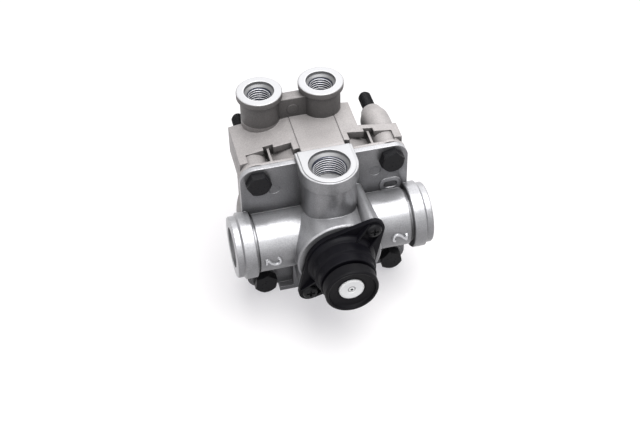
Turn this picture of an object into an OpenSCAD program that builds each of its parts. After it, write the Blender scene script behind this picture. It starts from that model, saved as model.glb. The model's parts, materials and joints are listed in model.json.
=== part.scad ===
// Pneumatic relay valve for an air brake, with two control ports and a built-in double check valve.
// The working axis lies along Y: the exhaust points to -Y and the mounting studs to +Y. The supply
// port and the control ports point up, +Z, and the two delivery ports point to -X and +X.
// The origin is midway between the two mounting studs, on the end faces of their bosses.

/* [Joint between the castings] */
// Spacing of the four housing bolts, the same across and up
bolt_pitch = 80.5; // [79.5:0.5:84]
// Distance from the bolts to the flanges' side edges
bolt_side = 10.45; // [9.8:0.05:12]
// Distance from the bolts to the flanges' top and bottom edges
bolt_edge = 8.55; // [8:0.05:9]
// Corner radius of the flanges
flange_corner = 9; // [7:0.5:12]
// Thickness of the lower body's flange
lower_flange_t = 3.6; // [3:0.2:6]
// Height of the round pads under the two lower bolts' heads
lower_pad_h = 2.2; // [0.4:0.2:3]
// Thickness of the upper housing's front wall, seen beside its pockets
upper_flange_t = 2; // [1.6:0.2:3]

/* [Housing bolts and studs] */
// Nominal diameter of the housing bolts
bolt_d = 8; // [6:0.5:8]
// Size of the bolts' hexagon across its flats
bolt_flats = 13; // [11:0.5:13.5]
// Height of the bolts' heads
bolt_head_h = 5.8; // [4:0.1:6.5]
// Length that the long bolts stand out of their bosses as mounting studs
stud_out = 16.4; // [12:0.4:24]
// Depth that the short bolts reach into the upper housing
short_bolt_in = 12; // [8:1:13]
// Radius of the stud bosses at their foot
stud_boss_r = 9.2; // [8.4:0.2:10]
// Radius of the stud bosses' flat end face
stud_boss_end_r = 6.2; // [5.2:0.2:7]
// Distance from the parting plane to the stud bosses' end faces
stud_boss_y = 40; // [36:0.5:46]

/* [Relay piston] */
// Diameter of the bore that the relay piston slides in
piston_bore_d = 92; // [88:0.5:93]
// Outer diameter of the cylinder wall around that bore
cylinder_d = 103; // [102:0.5:106]
// Depth of the control chamber behind the parting plane
chamber_depth = 13.6; // [13:0.2:16]
// Thickness of the control chamber's rear wall
rear_wall_t = 4.4; // [3:0.2:6]
// Height of the piston's rim along the axis
piston_rim_h = 9; // [7.6:0.2:9.2]
// Thickness of the piston's web
piston_web_t = 3.4; // [2.4:0.2:5]
// Whole travel of the piston, from exhaust open to inlet fully open
piston_travel = 3.5; // [2.5:0.1:3.6]
// Part of the travel that first closes the exhaust
exhaust_lift = 1.55; // [1:0.05:2]
// Diameter of the piston's stem, whose end is the exhaust seat
stem_d = 20; // [17:0.5:20.5]
// Thickness of the ring that seals the piston
piston_ring_t = 3; // [2:0.2:3.4]

/* [Inlet valve] */
// Diameter of the inlet seat's opening
inlet_d = 26; // [24:0.5:27]
// Distance from the parting plane to the inlet seat
inlet_y = 12; // [11:0.5:13]
// Thickness of the wall that carries the inlet seat
seat_wall_t = 3; // [2.4:0.2:4]
// Diameter of the valve's disc
valve_d = 32; // [30:0.5:34]
// Thickness of the rubber on the valve's disc
valve_rubber_t = 2.4; // [1.6:0.2:3.2]
// Thickness of the disc behind the rubber
valve_disc_t = 2.4; // [1.8:0.2:3.2]
// Outer diameter of the valve's hollow stem
valve_stem_d = 19; // [18:0.5:20]
// Diameter of the air way through the valve
valve_hole_d = 13.6; // [11:0.2:14]
// Wire diameter of the valve spring
spring_wire_d = 1.6; // [1:0.1:2]
// Turns of the valve spring
spring_turns = 3.5; // [2.5:0.5:4.5]

/* [Supply chamber and valve guide] */
// Diameter of the supply chamber around the valve
supply_chamber_d = 39; // [38:0.5:40]
// Diameter of the bore that holds the valve guide
guide_bore_d = 40; // [39.5:0.5:42]
// Distance from the parting plane to the shoulder that the guide sits against
guide_shoulder_y = 28.4; // [28:0.2:30]
// Length of the valve guide
guide_len = 7; // [6:0.2:7.4]
// Thickness of the small seal rings
small_ring_t = 2; // [1.4:0.1:2.4]
// Thickness of the snap rings
snap_ring_t = 1.2; // [0.8:0.1:1.4]
// Outer diameter of the lower body's barrel
barrel_d = 51; // [49:0.5:53]
// Distance from that shoulder to the barrel's front face
guide_inset = 9.6; // [9.2:0.2:12]

/* [Supply port] */
// Diameter of the bore of the large ports, the core of an M22 x 1.5 thread
big_port_d = 20.4; // [18:0.2:21]
// Diameter of the large ports' countersink
big_port_sink_d = 24.6; // [23:0.2:25.6]
// Depth of that countersink
big_port_sink_depth = 3.3; // [2:0.1:4]
// Depth of the large ports, with their thread
big_port_depth = 17; // [14:0.5:18]
// Distance from the parting plane to the supply port's axis
supply_y = 14.5; // [14:0.1:16]
// Height of the supply port's face above the working axis, which is the housing's top as well
top_z = 53.8; // [53:0.2:58]
// Half width of the supply port's U-shaped collar
supply_collar_r = 16.2; // [15.6:0.2:17]
// Height of that collar
supply_collar_h = 9.4; // [6:0.2:12]
// Step from the collar down to the neck below it
supply_step = 0.8; // [0.4:0.1:1.6]
// Diameter of the passage from the supply port to the supply chamber
supply_passage_d = 13; // [9:0.5:13]

/* [Delivery ports] */
// Distance from the parting plane to the delivery ports' axis
delivery_y = 13.9; // [13.6:0.1:15]
// Height of the delivery ports' axis above the working axis
delivery_z = 0.5; // [-1:0.1:1]
// Distance between the two delivery ports' faces
delivery_span = 120; // [118:0.5:132]
// Diameter of the delivery necks
delivery_neck_d = 35; // [33:0.5:36]
// Diameter of the delivery ports' collars
delivery_collar_d = 40.2; // [38.5:0.2:42]
// Length of those collars
delivery_collar_w = 8; // [6:0.5:9]
// Diameter of the ring on each end face
delivery_ring_d = 37; // [34:0.5:38]
// Length that the ring stands out from the collar
delivery_ring_w = 4.2; // [2.5:0.1:5]
// Width of the groove behind each collar
delivery_groove_w = 1.6; // [1:0.1:2.4]
// Depth of that groove
delivery_groove_depth = 1.5; // [0.8:0.1:2]
// Diameter of the passage behind each delivery port
delivery_passage_d = 16; // [12:0.5:17]
// Distance from the working axis to the inner end of that passage
delivery_passage_end = 27; // [26:0.5:29]

/* [Exhaust cover and flap] */
// Distance between the two cover screws across X
screw_pitch_x = 38.8; // [37:0.2:42]
// Distance between the two cover screws along Z
screw_pitch_z = 41.5; // [39:0.5:44]
// Nominal diameter of the cover screws
screw_d = 5; // [4:0.5:5]
// Diameter of the cover screws' heads
screw_head_d = 9.5; // [8:0.5:10.5]
// Height of the cover screws' heads
screw_head_h = 2.4; // [1.8:0.1:3.2]
// Diameter of the cover's plate
cover_plate_d = 43; // [42:0.5:47]
// Thickness of the cover's plate
cover_plate_t = 2.8; // [2.2:0.1:4]
// Radius of the lobes round the cover screws
cover_lobe_r = 6.8; // [6:0.1:7.4]
// Outer diameter of the cover's barrel
cover_barrel_d = 37; // [35:0.5:39]
// Length of the cover's barrel in front of the plate
cover_barrel_len = 16.4; // [13:0.2:19]
// Thickness of the cover's walls
cover_wall = 2; // [1.6:0.1:2.6]
// Diameter of the rubber flap
flap_d = 32; // [30:0.5:34]
// Depth of the rubber flap along the axis
flap_depth = 9.2; // [8.4:0.2:10.6]
// Depth that the button lies behind the flap's rim
button_inset = 1.6; // [0.6:0.1:2]
// Diameter of the button's head
button_d = 15.1; // [12:0.1:17]

/* [Control ports] */
// Diameter of the bore of the control ports, the core of an M16 x 1.5 thread
small_port_d = 14.4; // [13:0.2:15]
// Diameter of the control ports' countersink
small_port_sink_d = 18; // [16.6:0.2:20]
// Depth of that countersink
small_port_sink_depth = 3.1; // [2:0.1:4.5]
// Depth of the control ports, with their thread
small_port_depth = 13; // [10:0.5:15]
// Place of the left control port's axis across X
control_left_x = -29.2; // [-30:0.2:-27]
// Place of the right control port's axis across X
control_right_x = 8.2; // [7:0.2:9]
// Distance from the parting plane to the control ports' axes
control_y = 37.3; // [36:0.1:40]
// Height of the control ports' faces above the housing's top
control_rise = 19.4; // [17:0.2:24]
// Diameter of the control ports' collars
control_collar_d = 27.4; // [25:0.2:29]
// Height of those collars
control_collar_h = 4.6; // [3:0.2:7]
// Diameter of the control ports' necks
control_neck_d = 23.4; // [22:0.2:24.6]

/* [Housing top] */
// Half width of the level pad in the middle of the housing's top
pad_half_w = 13.3; // [12:0.1:14]
// Fall of the top beside that pad, in degrees
roof_angle = 8.4; // [6:0.2:9]
// Thickness of the housing's roof
roof_t = 4.5; // [3.5:0.1:6]
// Half width of the housing's top
top_half_w = 49; // [48.4:0.2:50]
// Right edge of the housing's top behind the wing
top_right_x = 25.2; // [24:0.2:27]
// Distance from the parting plane to the top's rear edge
top_rear_y = 38.5; // [37:0.5:41]
// Distance from the parting plane to the wing's rear edge
wing_rear_y = 16.4; // [14:0.2:18]
// Distance from the parting plane to the pockets' rear edge
pocket_rear_y = 10.2; // [8:0.2:11]
// Inner edge of each pocket across X
pocket_in_x = 17; // [16.5:0.1:20]
// Outer edge of each pocket across X
pocket_out_x = 44.2; // [42:0.1:45]
// Place of the thin rib in each pocket
pocket_rib_x = 30.4; // [28:0.2:33]
// Thickness of that rib
pocket_rib_t = 1.4; // [1:0.1:2]
// Width of the notch behind that rib
notch_w = 6; // [4:0.2:8]
// Depth of that notch
notch_depth = 2.9; // [2:0.1:3.5]

/* [Double check valve] */
// Diameter of the check valve's bore, which runs through the bridge between the control ports
check_bore_d = 7.4; // [6:0.2:7.6]
// Diameter of the holes through its two seats
check_hole_d = 4.4; // [3:0.2:4.6]
// Travel of the shuttle between its two seats
shuttle_travel = 4; // [2:0.2:5]
// Length of the shuttle with its two rubber faces
shuttle_len = 15.2; // [14:0.2:16]
// Diameter of the passage from the check valve down to the control chamber
control_passage_d = 4; // [3:0.2:4.4]
// Height of the bridge between the control ports, above the housing's top
bridge_h = 14; // [8:0.5:15]
// Thickness of that bridge
bridge_t = 10.4; // [8:0.2:12]

/* [Hidden] */
$fn = 96;

CAST_BRIGHT = "#c9cacc";
CAST_MATT = "#b4b0ae";
BLACK_STEEL = "#25252a";
BLACK_PLASTIC = "#1d1d21";
BLACK_RUBBER = "#151517";

// Clearances: between faces that seat, in a sliding fit, at a thread, and round a bolt
seat_gap = 0.05;
slide_gap = 0.05;
thread_gap = 0.04;
bolt_gap = 0.4;
eps = 0.01;

flange_w = bolt_pitch + 2 * bolt_side;
flange_h = bolt_pitch + 2 * bolt_edge;
flange_front_y = -lower_flange_t;
cylinder_r = cylinder_d / 2;
floor_z = -cylinder_r;
chamber_rear_y = chamber_depth + rear_wall_t;
bolt_x = bolt_pitch / 2;
bolt_z = bolt_pitch / 2;
bolt_head_r = bolt_flats / 2 / cos(30);
bolt_shank_r = bolt_d / 2 - 0.5;
bolt_boss_r = bolt_d / 2 + 4.5;
bolt_boss_y = short_bolt_in + 4;
barrel_r = barrel_d / 2;
barrel_y = guide_shoulder_y + guide_inset;
control_z = top_z + control_rise;
neck_r = delivery_neck_d / 2;
supply_neck_r = supply_collar_r - supply_step;
valve_lift = piston_travel - exhaust_lift + seat_gap;

// Lower body
screw_x = screw_pitch_x / 2;
screw_z = screw_pitch_z / 2;
screw_tip_y = -barrel_y + 9;
screw_len = barrel_y + cover_plate_t + screw_tip_y;
cross_r = 2.6;
cross_w = 1.2;
cross_depth = 1.5;
recess_r = 37;
recess_y = flange_front_y + 2.4;
hub_recess_r = 18.5;
root_r = supply_chamber_d / 2 + 2;
root_y = -(inlet_y - 1);
hub_recess_y = -(inlet_y - seat_wall_t - 1);
link_r = 7;
link_x = delivery_passage_end + 4;
seal_r = piston_bore_d / 2 + 2.4;
supply_passage_y = inlet_y + supply_passage_d / 2 + 0.4;
relief_x = max(cylinder_r, flange_w / 2) + 0.5;
foot_half_w = bolt_x - bolt_head_r - 1.5;
foot_web_x = 21;
foot_y = -8;
pad_r = min(bolt_edge, bolt_side) - 0.4;
pad_front_y = flange_front_y - lower_pad_h;
foot_top_z = -max(flange_h / 2 - 0.4, bolt_z + bolt_head_r + bolt_gap);
snap_depth = 1;
snap_y = -(guide_shoulder_y + guide_len + 2 * seat_gap);

// Upper housing and double check valve
cylinder_bevel = 3;
boss_bevel = 2;
side_front_y = 3.6;
neck_floor_z = top_z - 3.8;
port_well_d = 11;
check_r = check_bore_d / 2;
check_z = control_z - small_port_depth - check_r;
check_mid_x = (control_left_x + control_right_x) / 2;
check_seat_x = check_mid_x - (shuttle_len + shuttle_travel) / 2 - seat_gap;
seat_bush_x = check_mid_x + (shuttle_len + shuttle_travel) / 2 + seat_gap;
seat_bush_len = control_right_x - port_well_d / 2 - seat_bush_x;
check_plug_x = control_right_x + port_well_d / 2 + 0.6;
check_plug_end_x = control_right_x + control_neck_d / 2 - 1.2;
check_socket_d = 4;
check_socket_depth = 2;
shuttle_x = check_seat_x + seat_gap;
face_t = 1.6;
passage_y = (control_y - bridge_t / 2 + top_rear_y) / 2;
passage_z = piston_bore_d / 2 - 4.5;

// Relay piston
piston_r = piston_bore_d / 2 - 0.25;
piston_rear_y = chamber_depth - 0.3;
piston_front_y = piston_rear_y - piston_rim_h;
stem_end_y = -inlet_y + exhaust_lift - seat_gap;
ring_y_pos = (piston_front_y + piston_rear_y) / 2;
ring_groove = piston_ring_t * 0.6;

// Inlet and exhaust valve, its spring and its guide
valve_face_y = -inlet_y - seat_gap;
valve_disc_y = valve_face_y - valve_rubber_t;
valve_back_y = valve_disc_y - valve_disc_t;
valve_stem_r = valve_stem_d / 2;
guide_rear_y = -guide_shoulder_y - seat_gap;
guide_front_y = guide_rear_y - guide_len;
guide_mid_y = (guide_rear_y + guide_front_y) / 2;
valve_end_y = guide_front_y - 1;
spring_mid_r = valve_stem_r + 1.3 + spring_wire_d / 2;
spring_front_y = guide_rear_y + seat_gap + spring_wire_d / 2;
spring_rear_y = valve_back_y - seat_gap - spring_wire_d / 2;
spring_sides = 8;
spring_steps = 20;

// Exhaust cover, flap and button
cover_rear_y = -barrel_y - seat_gap;
cover_plate_y = cover_rear_y - cover_plate_t;
cover_front_y = cover_plate_y - cover_barrel_len;
cover_barrel_r = cover_barrel_d / 2;
cover_step_y = cover_plate_y - cover_barrel_len * 0.6;
button_r = button_d / 2;
button_shank_r = 3;
dimple_r = 2.6;
button_t = 2.2;
button_barb_y = cover_front_y + 2.6;
button_barb_h = 2.4;
flap_rear_y = cover_front_y - seat_gap;
flap_front_y = flap_rear_y - flap_depth;
flap_r = flap_d / 2;
button_y = flap_front_y + button_inset;
button_back_y = button_y + button_t;

// Turned round the Y axis: each point of the outline is [radius, y]
module turned(outline) {
    rotate([-90, 0, 0]) rotate_extrude() polygon(outline);
}

module rod_y(r, y0, y1) {
    translate([0, y0, 0]) rotate([-90, 0, 0]) cylinder(r = r, h = y1 - y0);
}

module rod_x(r, x0, x1) {
    translate([x0, 0, 0]) rotate([0, 90, 0]) cylinder(r = r, h = x1 - x0);
}

module rod_z(r, z0, z1) {
    translate([0, 0, z0]) cylinder(r = r, h = z1 - z0);
}

// A flat outline drawn in X and Z, made solid from y0 to y1
module slab_y(y0, y1) {
    translate([0, y1, 0]) rotate([90, 0, 0]) linear_extrude(y1 - y0) children();
}

module box(low, high) {
    translate(low) cube(high - low);
}

module rounded_rect(w, h, r) {
    square([w - 2 * r, h], center = true);
    square([w, h - 2 * r], center = true);
    for (sx = [-1, 1], sz = [-1, 1]) translate([sx * (w / 2 - r), sz * (h / 2 - r)]) circle(r);
}

// A ring of round section around the Y axis
module ring_y(mid_r, thick, y) {
    translate([0, y, 0]) rotate([-90, 0, 0]) rotate_extrude()
        translate([mid_r, 0]) circle(thick / 2, $fn = 32);
}

// Points of a quarter round: centre c, radius r, from angle a0 to a1
function arc(c, r, a0, a1, n = 6) =
    [for (i = [0:n]) let (a = a0 + (a1 - a0) * i / n) c + r * [cos(a), sin(a)]];

// The parts are drawn about the working axis at the parting plane, and set from there to the origin
module placed() {
    translate([0, -stud_boss_y, -bolt_z]) children();
}

module at_bolts(sides_z) {
    for (sx = [-1, 1], sz = sides_z) translate([sx * bolt_x, 0, sz * bolt_z]) children();
}

// A tapped port along -Z from its face at the origin: countersink, then the thread's core
module port_cut(bore_d, sink_d, sink_depth, depth) {
    cone_h = (sink_d - bore_d) / 2 * 0.6;
    translate([0, 0, -depth]) cylinder(d = bore_d, h = depth + eps);
    translate([0, 0, -sink_depth]) cylinder(d1 = bore_d, d2 = sink_d, h = cone_h);
    translate([0, 0, cone_h - sink_depth]) cylinder(d = sink_d, h = sink_depth);
}

module big_port_cut() {
    port_cut(big_port_d, big_port_sink_d, big_port_sink_depth, big_port_depth);
}

// Lower body

module at_screws() {
    for (s = [-1, 1]) translate([s * screw_x, 0, s * screw_z]) children();
}

module delivery_neck() {
    half = delivery_span / 2;
    collar_out = half - delivery_ring_w;
    collar_in = collar_out - delivery_collar_w;
    translate([0, -delivery_y, delivery_z]) {
        rod_x(neck_r, 0, collar_in - delivery_groove_w);
        rod_x(neck_r - delivery_groove_depth, 0, collar_in + 1);
        translate([collar_in, 0, 0]) rotate([0, 90, 0]) rotate_extrude() polygon([
            [0, 0], [delivery_collar_d / 2 - 0.5, 0], [delivery_collar_d / 2, 0.5],
            [delivery_collar_d / 2, delivery_collar_w - 0.8],
            [delivery_ring_d / 2, delivery_collar_w + 0.2],
            [delivery_ring_d / 2, delivery_collar_w + delivery_ring_w - 0.6],
            [delivery_ring_d / 2 - 0.6, delivery_collar_w + delivery_ring_w],
            [0, delivery_collar_w + delivery_ring_w]
        ]);
    }
}

module u_outline(r) {
    translate([0, -supply_y]) circle(r);
    translate([-r, -supply_y]) square([2 * r, supply_y]);
}

module supply_boss() {
    linear_extrude(top_z - supply_collar_h + 0.5) u_outline(supply_neck_r);
    translate([0, 0, top_z - supply_collar_h]) linear_extrude(supply_collar_h - 1) u_outline(supply_collar_r);
    linear_extrude(top_z) u_outline(supply_collar_r - 0.5);
}

module lower_body_outside() {
    slab_y(flange_front_y, 0) rounded_rect(flange_w, flange_h, flange_corner);
    turned([[0, 0], [root_r, 0], [root_r, root_y], [barrel_r, root_y - 4],
            [barrel_r, -barrel_y + 0.8], [barrel_r - 0.8, -barrel_y], [0, -barrel_y]]);
    delivery_neck();
    mirror([1, 0, 0]) delivery_neck();
    supply_boss();
    at_screws() turned([[0, 0], [3.2, 0], [3.2, -6], [screw_d / 2 + 3, -barrel_y + 0.5],
                        [screw_d / 2 + 3, -barrel_y], [0, -barrel_y]]);
    at_bolts([-1]) rod_y(pad_r, pad_front_y, 0);
    // Foot under the flange, with three webs up to the barrel
    box([-foot_half_w, foot_y, floor_z], [foot_half_w, 0, foot_top_z]);
    for (x = [-foot_web_x, 0, foot_web_x]) box([x - 1.5, foot_y, floor_z], [x + 1.5, 0, -barrel_r + 4]);
    // Raised blank ring on the right of the flange
    slab_y(flange_front_y - 0.6, flange_front_y + eps) translate([bolt_x, neck_r + 1.5]) difference() {
        rounded_rect(13.6, 10.4, 4.8);
        rounded_rect(8.4, 5, 2.4);
    }
}

module lower_body() {
    color(CAST_BRIGHT) placed() difference() {
        lower_body_outside();
        // Behind the parting plane only the outer ends of the delivery necks remain
        box([-relief_x, 0, floor_z], [relief_x, delivery_neck_d, top_z + 1]);
        // Recess under the piston, and the deeper one round its stem
        rod_y(recess_r, recess_y, 1);
        rod_y(hub_recess_r, hub_recess_y, 1);
        // Groove of the housing seal
        turned([[seal_r - 1, -1.5], [seal_r + 1, -1.5], [seal_r + 1, 1], [seal_r - 1, 1]]);
        // Inlet opening, whose raised lip is the inlet seat
        rod_y(inlet_d / 2, -inlet_y - 1, 1);
        turned([[0, -inlet_y], [inlet_d / 2 + 1.4, -inlet_y], [inlet_d / 2 + 2.4, -inlet_y + 1],
                [supply_chamber_d / 2, -inlet_y + 1], [supply_chamber_d / 2, -guide_shoulder_y],
                [guide_bore_d / 2, -guide_shoulder_y], [guide_bore_d / 2, -barrel_y - 1],
                [0, -barrel_y - 1]]);
        rod_y(guide_bore_d / 2 + snap_depth, snap_y - snap_ring_t - seat_gap, snap_y + seat_gap);
        // Supply port and its passage to the supply chamber
        translate([0, -supply_y, top_z]) big_port_cut();
        translate([0, -supply_passage_y, 0])
            rod_z(supply_passage_d / 2, supply_chamber_d / 2 - 8, top_z - big_port_depth + eps);
        // Delivery ports, each joined to the space under the piston
        for (s = [-1, 1]) {
            translate([s * delivery_span / 2, -delivery_y, delivery_z]) rotate([0, s * 90, 0]) {
                big_port_cut();
                rod_z(delivery_passage_d / 2, delivery_passage_end - delivery_span / 2,
                      -big_port_depth + eps);
            }
            translate([s * link_x, 0, delivery_z]) rod_y(link_r, -delivery_y, 1);
        }
        at_bolts([-1, 1]) rod_y(bolt_d / 2 + bolt_gap, pad_front_y - 1, 1);
        at_screws() rod_y(screw_d / 2 + thread_gap, screw_tip_y - screw_len - 1, screw_tip_y + 2);
        // Ejector marks on the flange
        for (sx = [-1, 1]) translate([sx * 30.7, 0, 31.5])
            rod_y(3.4, flange_front_y - 1, flange_front_y + 0.3);
    }
}

// Upper housing
function roof_z(x) = top_z - max(0, abs(x) - pad_half_w) * tan(roof_angle);

module roof_outline(x0, x1, depth) {
    xs = concat([x0], [for (x = [-pad_half_w, pad_half_w]) if (x > x0 && x < x1) x], [x1]);
    polygon(concat([for (x = xs) [x, roof_z(x)]],
                   [for (i = [len(xs) - 1:-1:0]) [xs[i], roof_z(xs[i]) - depth]]));
}

module stud_boss() {
    cone_y = stud_boss_y - 9;
    turned(concat([[0, 0], [stud_boss_r, 0], [stud_boss_r, chamber_rear_y]],
                  arc([0, cone_y], stud_boss_r - 0.3, 0, 30, 3),
                  [[stud_boss_end_r, stud_boss_y], [0, stud_boss_y]]));
}

module control_neck(x) {
    translate([x, control_y, 0]) {
        rod_z(control_neck_d / 2, neck_floor_z, control_z - control_collar_h + 0.5);
        translate([0, 0, control_z - control_collar_h]) rotate_extrude() polygon([
            [0, 0], [control_collar_d / 2 - 1, 0], [control_collar_d / 2, 1],
            [control_collar_d / 2, control_collar_h - 0.5], [control_collar_d / 2 - 0.5, control_collar_h],
            [0, control_collar_h]
        ]);
    }
}

module bridge() {
    front = control_y - bridge_t / 2;
    rear = control_y + bridge_t / 2;
    top = top_z + bridge_h;
    round_r = 6;
    translate([control_left_x, 0, 0]) rotate([90, 0, 90]) linear_extrude(control_right_x - control_left_x)
        polygon(concat([[front, neck_floor_z], [front, top - 0.6], [front + 0.6, top]],
                       arc([rear - round_r, top - round_r], round_r, 90, 0, 8),
                       [[rear, neck_floor_z]]));
}

module upper_housing_outside() {
    // Front wall, cylinder and rear wall of the control chamber
    slab_y(0, upper_flange_t) rounded_rect(flange_w, flange_h, flange_corner);
    turned([[0, 0], [cylinder_r, 0], [cylinder_r, chamber_rear_y - cylinder_bevel],
            [cylinder_r - 0.3 * cylinder_bevel, chamber_rear_y - 0.3 * cylinder_bevel],
            [cylinder_r - cylinder_bevel, chamber_rear_y], [0, chamber_rear_y]]);
    at_bolts([-1]) turned([[0, 0], [bolt_boss_r, 0], [bolt_boss_r, bolt_boss_y - boss_bevel],
                           [bolt_boss_r - boss_bevel, bolt_boss_y], [0, bolt_boss_y]]);
    at_bolts([1]) stud_boss();
    // Roof: the level pad, the sloping sides behind the pockets, the wing and the strips at the corners
    slab_y(0, top_rear_y) roof_outline(-pad_half_w - eps, pad_half_w + eps, roof_t);
    slab_y(side_front_y, wing_rear_y) roof_outline(-top_half_w, top_half_w, roof_t);
    slab_y(wing_rear_y - 1, top_rear_y) roof_outline(-top_half_w, top_right_x, roof_t);
    // Wall behind the pockets, and the side walls
    slab_y(chamber_depth, chamber_rear_y - 1.6) intersection() {
        rounded_rect(2 * top_half_w, 2 * top_z, flange_corner);
        translate([-top_half_w, 0]) square([2 * top_half_w, top_z]);
        union() {
            roof_outline(-top_half_w, top_half_w, 3);
            translate([-top_half_w, 0]) square([2 * top_half_w, roof_z(top_half_w) - 1]);
        }
    }
    for (s = [-1, 1]) slab_y(side_front_y, chamber_depth + 1) intersection() {
        translate([s * (top_half_w + pocket_out_x) / 2 - (top_half_w - pocket_out_x) / 2, 16])
            square([top_half_w - pocket_out_x, top_z]);
        roof_outline(-top_half_w, top_half_w, top_z);
    }
    // Thin rib in each pocket, level with the flanges
    for (s = [-1, 1]) box([s * pocket_rib_x - pocket_rib_t / 2, upper_flange_t - eps, 30],
                          [s * pocket_rib_x + pocket_rib_t / 2, chamber_depth + 1, flange_h / 2]);
    // Walls under the rear of the roof
    slab_y(chamber_rear_y - 2, top_rear_y) for (x = [-top_half_w, check_mid_x - 2, top_right_x - 4])
        intersection() {
            translate([x, 30]) square([4, top_z]);
            roof_outline(-top_half_w, top_right_x, top_z);
        }
    slab_y(top_rear_y - 4, top_rear_y) intersection() {
        translate([-top_half_w, 30]) square([top_half_w + top_right_x, top_z]);
        roof_outline(-top_half_w, top_right_x, top_z);
    }
    // Control ports and the bridge between them, with a round mark on its front
    control_neck(control_left_x);
    control_neck(control_right_x);
    bridge();
    translate([check_mid_x, 0, check_z + 3]) rod_y(3.4, control_y - bridge_t / 2 - 0.3, control_y);
    // Wall round the passage from the check valve to the control chamber
    intersection() {
        control_passage(control_passage_d / 2 + 2);
        box([-top_half_w, chamber_depth, 0], [top_half_w, top_rear_y, top_z - 0.1]);
    }
}

// The passage from the control chamber: rearwards, then up to the middle of the check valve's bore
module control_passage(r) {
    translate([check_mid_x, 0, passage_z]) rod_y(r, chamber_depth - 1, passage_y + r);
    translate([check_mid_x, passage_y, 0]) rod_z(r, passage_z, check_z);
}

module pocket_cuts() {
    for (s = [-1, 1]) {
        slab_y(upper_flange_t, pocket_rear_y) pocket_area(s, pocket_in_x, pocket_out_x);
        slab_y(pocket_rear_y - eps, pocket_rear_y + notch_depth)
            pocket_area(s, pocket_rib_x - notch_w / 2, pocket_rib_x + notch_w / 2);
        slab_y(upper_flange_t, chamber_depth - 0.6) pocket_area(s, pocket_in_x + 1, pocket_out_x, roof_t);
    }
}

// Area above the cylinder and outside the bolt's boss, from x0 to x1 on side s, a depth below the roof
module pocket_area(s, x0, x1, below = -10) {
    difference() {
        intersection() {
            translate([s > 0 ? x0 : -x1, 18]) square([x1 - x0, top_z]);
            roof_outline(-top_half_w, top_half_w, top_z);
            translate([-top_half_w, -below]) square([2 * top_half_w, top_z + 20]);
        }
        circle(cylinder_r);
        translate([s * bolt_x, bolt_z]) circle(bolt_boss_r);
        translate([s * pocket_rib_x - pocket_rib_t / 2, 0]) square([pocket_rib_t, flange_h / 2]);
        if (below > 0) roof_outline(-top_half_w, top_half_w, below);
    }
}

module check_bores() {
    for (x = [control_left_x, control_right_x]) translate([x, control_y, 0]) {
        translate([0, 0, control_z])
            port_cut(small_port_d, small_port_sink_d, small_port_sink_depth, small_port_depth);
        rod_z(port_well_d / 2, check_z - check_r, control_z - small_port_depth + 1);
    }
    translate([0, control_y, check_z]) {
        rod_x(check_r, check_seat_x, control_right_x + control_neck_d);
        rod_x(check_hole_d / 2, control_left_x, check_seat_x + 1);
    }
    control_passage(control_passage_d / 2);
}

module upper_housing() {
    color(CAST_MATT) placed() difference() {
        upper_housing_outside();
        rod_y(piston_bore_d / 2, -1, chamber_depth);
        pocket_cuts();
        check_bores();
        at_bolts([1]) rod_y(bolt_d / 2 + thread_gap, -1, stud_boss_y + 1);
        at_bolts([-1]) rod_y(bolt_d / 2 + thread_gap, -1, short_bolt_in + 1);
        // Fine grooves along both edges of the level pad
        for (s = [-1, 1]) box([s * pad_half_w - 0.25, -1, top_z - 0.5],
                              [s * pad_half_w + 0.25, control_y - bridge_t / 2, top_z + 1]);
    }
}

// Relay piston and its ring

module housing_seal() {
    color(BLACK_RUBBER) placed() ring_y(seal_r, 1.4, -0.75);
}

module relay_piston() {
    web_front = piston_front_y + 1.6;
    web_rear = web_front + piston_web_t;
    rim_in = piston_r - 6;
    ring_in_r = piston_r - piston_ring_t;
    color("#9a9da1") placed() difference() {
        union() {
            turned([[0, web_rear], [rim_in, web_rear], [rim_in, piston_rear_y], [piston_r, piston_rear_y],
                    [piston_r, ring_y_pos + ring_groove], [ring_in_r, ring_y_pos + ring_groove],
                    [ring_in_r, ring_y_pos - ring_groove], [piston_r, ring_y_pos - ring_groove],
                    [piston_r, piston_front_y], [rim_in, piston_front_y], [rim_in, web_front],
                    [stem_d / 2 + 3, web_front], [stem_d / 2, web_front - 3], [stem_d / 2, stem_end_y + 1],
                    [stem_d / 2 - 0.6, stem_end_y], [0, stem_end_y]]);
            // Ribs behind the web
            for (a = [0:60:300]) rotate([0, a, 0])
                box([-1, web_rear - eps, 8], [1, piston_rear_y - 1.2, rim_in + 1]);
            rod_y(9, web_rear - eps, piston_rear_y);
        }
        rod_y(stem_d / 2 - 2, stem_end_y - 1, web_front - 1);
    }
}

module piston_ring() {
    mid = piston_bore_d / 2 - slide_gap - piston_ring_t / 2;
    color(BLACK_RUBBER) placed() ring_y(mid, piston_ring_t, ring_y_pos);
}

// Inlet and exhaust valve

module valve_rubber() {
    color(BLACK_RUBBER) placed() turned([
        [valve_hole_d / 2 + 0.3, valve_face_y], [valve_d / 2 - 0.5, valve_face_y],
        [valve_d / 2 - 0.5, valve_disc_y], [valve_hole_d / 2 + 0.3, valve_disc_y]
    ]);
}

module valve_body() {
    color("#d8d3c4") placed() turned([
        [valve_hole_d / 2, valve_disc_y], [valve_d / 2, valve_disc_y], [valve_d / 2, valve_back_y],
        [valve_stem_r + 0.8, valve_back_y], [valve_stem_r, valve_back_y - 0.8],
        [valve_stem_r, valve_end_y + 0.6], [valve_stem_r - 0.6, valve_end_y],
        [valve_hole_d / 2, valve_end_y]
    ]);
}

// The spring's coil, swept along its helix as one closed mesh

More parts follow.
